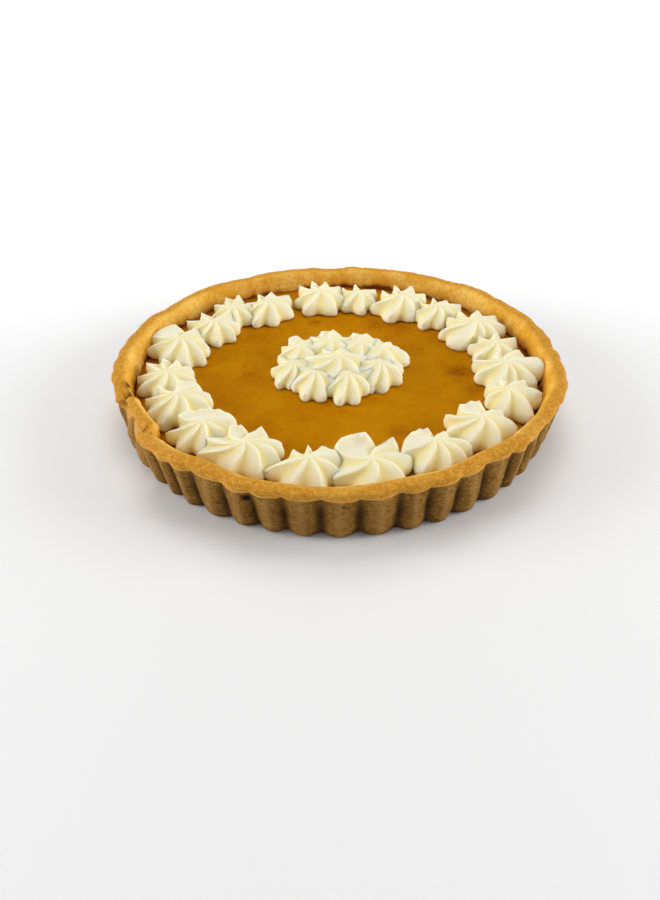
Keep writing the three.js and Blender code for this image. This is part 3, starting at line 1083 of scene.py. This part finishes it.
def custard_finish():
    custard = Finish("pumpkin custard", Specular_IOR_Level=0.01)
    broad = custard.noise(22.0, 3.0)
    mottle = custard.noise(4.0, 4.0, 0.6)
    fine = custard.noise(0.9, 3.0, 0.6)
    shade = custard.blend(custard.fade(broad, 0.35, 0.65), CUSTARD_ORANGE, CUSTARD_PALE)
    shade = custard.blend(custard.fade(mottle, 0.5, 0.75, 0.0, 0.5), shade, CUSTARD_MOTTLE)
    shade = custard.blend(custard.fade(fine, 0.6, 0.75, 0.0, 0.6), shade, CUSTARD_FRECKLES)
    for where, out, reach, strength in CUSTARD_PATCHES:
        patch = custard.near(on_circle(where, out, CUSTARD_LEVEL), 0.0, reach)
        blotchy = custard.fade(mottle, 0.3, 0.6, 0.4 * strength, strength)
        shade = custard.blend(custard.both(patch, blotchy), shade, CUSTARD_DARK)
    # A band along the edge, browned and with painted shade where the custard meets the wall.
    middle = on_circle(0.0, 0.0, CUSTARD_LEVEL)
    within = custard.near(middle, CUSTARD_RADIUS - CUSTARD_BAND, CUSTARD_RADIUS)
    edge = custard.both(custard.reckon("SUBTRACT", 1.0, within), 0.6)
    shade = custard.blend(edge, shade, CUSTARD_EDGE_BROWN_AND_SHADE)
    specks = custard.fade(custard.specks(4.0), 0.05, 0.1, 0.6, 0.0)
    shade = custard.blend(specks, shade, CUSTARD_SPECKS)
    normal = custard.bump(fine, 0.14, 0.5)
    normal = custard.bump(mottle, 0.4, 0.4, normal)
    dullness = custard.fade(mottle, 0.3, 0.7, 0.45, 0.6)
    return custard.finish(Base_Color=shade, Roughness=dullness, Normal=normal)


def cream_finish():
    cream = Finish(
        "whipped cream",
        Specular_IOR_Level=0.3,
        Subsurface_Weight=1.0,
        Subsurface_Scale=CREAM_DEPTH * MM,
        Subsurface_Radius=CREAM_SOFTNESS,
    )
    fine = cream.noise(1.2, 2.0)
    # Painted shade: the hollows between the arms are tinted yellow.
    hollow = cream.fade(cream.marked("hollow"), 0.25, 1.0)
    shade = cream.blend(hollow, CREAM_IVORY, CREAM_HOLLOW_SHADE)
    dullness = cream.fade(fine, 0.3, 0.7, 0.4, 0.55)
    return cream.finish(Base_Color=shade, Roughness=dullness, Normal=cream.bump(fine, 0.1, 0.25))


def floor_finish():
    floor = Finish("pale floor", Roughness=0.7)
    return floor.finish(Base_Color=floor.blend(floor.noise(400.0, 2.0), FLOOR_GREY, FLOOR_PALE))


# ---------- studio ----------

# The camera's place in millimetres, its turn in degrees, and its lens and sensor.
CAMERA_PLACE = (0.0, -240.5, 153.4)
CAMERA_TURN = (50.19, 0.92, 0.26)
CAMERA_LENS = 20.0
CAMERA_SENSOR = 36.0
# Square soft lights: name, place and side in metres, power, and the place each looks at.
LIGHTS = [
    ("left_box", (-0.95, -0.15, 0.33), 0.5, 6.8, MIDDLE),
    ("right_box", (0.95, -0.1, 0.33), 0.5, 6.8, MIDDLE),
    ("top_box", (0.0, 0.4, 1.0), 0.6, 3.8, MIDDLE),
    ("backdrop_box", (0.0, 0.7, 1.0), 0.8, 20.0, (0.0, 1.9, 0.2)),
]
WORLD_STRENGTH = 0.32
# The floor's outline from the middle out, in metres: height and radius.
SWEEP = [(0.0, 1.3), (0.02, 1.5), (0.09, 1.68), (0.22, 1.83), (0.4, 1.92), (0.65, 1.95)]


def lay_floor():
    """A round floor that curves up into a low wall all round."""
    bpy.ops.mesh.primitive_circle_add(
        vertices=ROUND, radius=SWEEP[0][1], fill_type="NGON", location=MIDDLE
    )
    floor = bpy.context.object
    start_editing(floor)
    bpy.ops.mesh.select_all(action="SELECT")
    bpy.ops.mesh.normals_make_consistent(inside=False)
    for before, after in zip(SWEEP, SWEEP[1:]):
        pick_edge_ring(floor, lambda co: True)
        bpy.ops.mesh.extrude_edges_move(
            TRANSFORM_OT_translate={"value": (0.0, 0.0, after[0] - before[0])}
        )
        widen(after[1] / before[1])
    stop_editing()
    bpy.ops.object.shade_smooth()
    floor.name = "floor"
    floor.data.materials.append(floor_finish())


def hang_light(name, place, size, power, aim):
    lamp = bpy.data.lights.new(name, "AREA")
    lamp.size = size
    lamp.energy = power
    holder = bpy.data.objects.new(name, lamp)
    holder.location = place
    holder.rotation_euler = (Vector(aim) - Vector(place)).to_track_quat("-Z", "Y").to_euler()
    bpy.context.scene.collection.objects.link(holder)


def light_studio():
    world = bpy.data.worlds.new("studio")
    world.use_nodes = True
    background = world.node_tree.nodes["Background"]
    background.inputs["Color"].default_value = (1.0, 1.0, 1.0, 1.0)
    background.inputs["Strength"].default_value = WORLD_STRENGTH
    bpy.context.scene.world = world
    for light in LIGHTS:
        hang_light(*light)


def set_camera():
    camera = bpy.data.objects.new("camera", bpy.data.cameras.new("camera"))
    camera.data.lens = CAMERA_LENS
    camera.data.sensor_width = CAMERA_SENSOR
    camera.data.clip_start = 0.01
    camera.location = Vector(CAMERA_PLACE) * MM
    camera.rotation_euler = [math.radians(angle) for angle in CAMERA_TURN]
    bpy.context.scene.collection.objects.link(camera)
    bpy.context.scene.camera = camera


# ---------- the pie ----------

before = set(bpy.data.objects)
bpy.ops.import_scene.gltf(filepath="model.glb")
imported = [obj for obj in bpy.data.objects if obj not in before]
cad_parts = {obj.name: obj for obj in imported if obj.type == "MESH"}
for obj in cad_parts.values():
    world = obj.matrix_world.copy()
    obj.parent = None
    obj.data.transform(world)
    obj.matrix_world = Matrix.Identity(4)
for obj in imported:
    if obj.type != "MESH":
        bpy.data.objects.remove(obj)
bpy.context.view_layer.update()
bpy.context.scene.view_settings.view_transform = "Standard"
CREAM = cream_finish()
CREAM_LUMPS = lumps("whip", 8.0, 1)
finish_piece(build_case(), "pastry_case", pastry_finish(), "crust", "crust")
finish_piece(build_custard(), "custard_filling", custard_finish(), "custard", "custard")
build_rosettes("cream_ring", RING_ROSETTES)
build_rosettes("cream_centre", CENTRE_ROSETTES, joined=True)
lay_floor()
light_studio()
set_camera()
